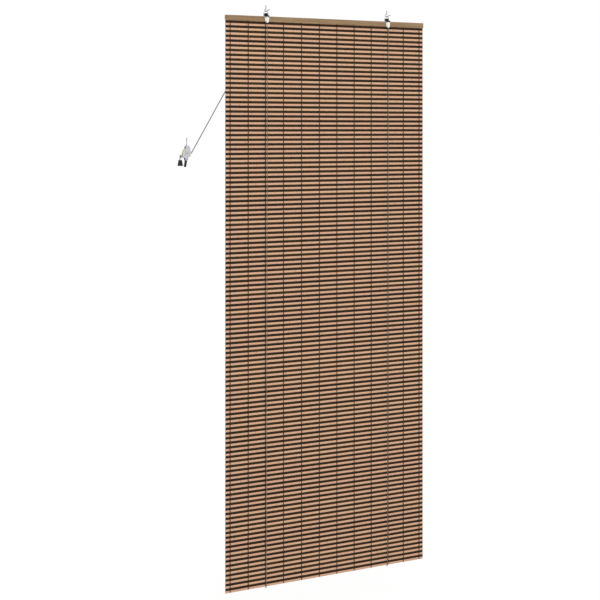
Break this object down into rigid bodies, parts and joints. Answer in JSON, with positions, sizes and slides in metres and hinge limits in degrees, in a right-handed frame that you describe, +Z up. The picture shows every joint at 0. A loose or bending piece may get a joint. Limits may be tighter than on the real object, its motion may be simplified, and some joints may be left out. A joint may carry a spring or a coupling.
{
  "type": "bamboo roll-up blind",
  "caption": "Lowered bamboo slat blind: square head rail on two wire hangers, light slats alternating with dark sticks, lift cords up the front and over the back to a side cord lock.",
  "frame": {"origin": "midway between the two hook screws, where they enter the lintel", "axes": "+X along the rail to the right seen from the room, +Y from the room to the window, +Z up along the hook screws"},
  "size_m": [1.086, 0.0453, 2.2488],
  "materials": {
    "rail_bamboo": "satin varnish",
    "slat_bamboo": "matt split bamboo, light slats and dark sticks",
    "warp_thread": "twisted cotton thread",
    "cord": "braided cord",
    "plated_steel": "bright plated",
    "zinc_wire": "zinc plated",
    "black_plastic": "moulded, satin",
    "cream_plastic": "moulded, smooth"
  },
  "bodies": {
    "blind": {"head_rail": "rail_bamboo", "rail_nails": "zinc_wire", "slat_mat": "slat_bamboo", "warp_thread_1": "warp_thread", "warp_thread_2": "warp_thread", "warp_thread_3": "warp_thread", "warp_thread_4": "warp_thread", "warp_thread_5": "warp_thread", "warp_thread_6": "warp_thread", "warp_thread_7": "warp_thread", "warp_thread_8": "warp_thread", "warp_thread_9": "warp_thread", "warp_thread_10": "warp_thread", "warp_thread_11": "warp_thread", "warp_thread_12": "warp_thread", "bracket_left": "plated_steel", "bracket_right": "plated_steel", "bracket_screws": "zinc_wire", "bush_left": "black_plastic", "bush_right": "black_plastic", "hanger_block_left": "black_plastic", "hanger_block_right": "black_plastic", "block_rivets": "zinc_wire", "bail_left": "zinc_wire", "bail_right": "zinc_wire", "screw_hook_left": "zinc_wire", "screw_hook_right": "zinc_wire", "roller_pins": "zinc_wire", "lift_cord_left": "cord", "lift_cord_right": "cord", "lock_frame": "plated_steel", "sheave_pin": "zinc_wire", "lever_pin": "zinc_wire", "guide_pin": "zinc_wire", "lock_hook": "zinc_wire", "cord_bell_left": "black_plastic", "cord_bell_right": "black_plastic", "cord_knots": "cord"},
    "left_roller": {"guide_roller_left": "cream_plastic"},
    "right_roller": {"guide_roller_right": "cream_plastic"},
    "cross_roller": {"guide_roller_cross": "cream_plastic"},
    "sheave": {"lock_sheave": "cream_plastic"},
    "lever": {"lock_lever": "black_plastic"}
  },
  "joints": [
    {"name": "sheave_spin", "type": "hinge", "parent": "blind", "child": "sheave", "pos_m": [-0.6035, 0.0163, -0.5565], "axis": [0, 1, 0], "continuous": true},
    {"name": "left_roller_spin", "type": "hinge", "parent": "blind", "child": "left_roller", "pos_m": [-0.2803, 0.0138, -0.047], "axis": [0, 1, 0], "continuous": true},
    {"name": "right_roller_spin", "type": "hinge", "parent": "blind", "child": "right_roller", "pos_m": [0.2717, 0.0138, -0.047], "axis": [0, 1, 0], "continuous": true},
    {"name": "cross_roller_spin", "type": "hinge", "parent": "blind", "child": "cross_roller", "pos_m": [-0.2703, 0.0188, -0.047], "axis": [0, -1, 0], "continuous": true},
    {"name": "lever_swing", "type": "hinge", "parent": "blind", "child": "lever", "pos_m": [-0.6058, 0.0163, -0.5804], "axis": [0, -1, 0], "range_deg": [0, 75]}
  ]
}
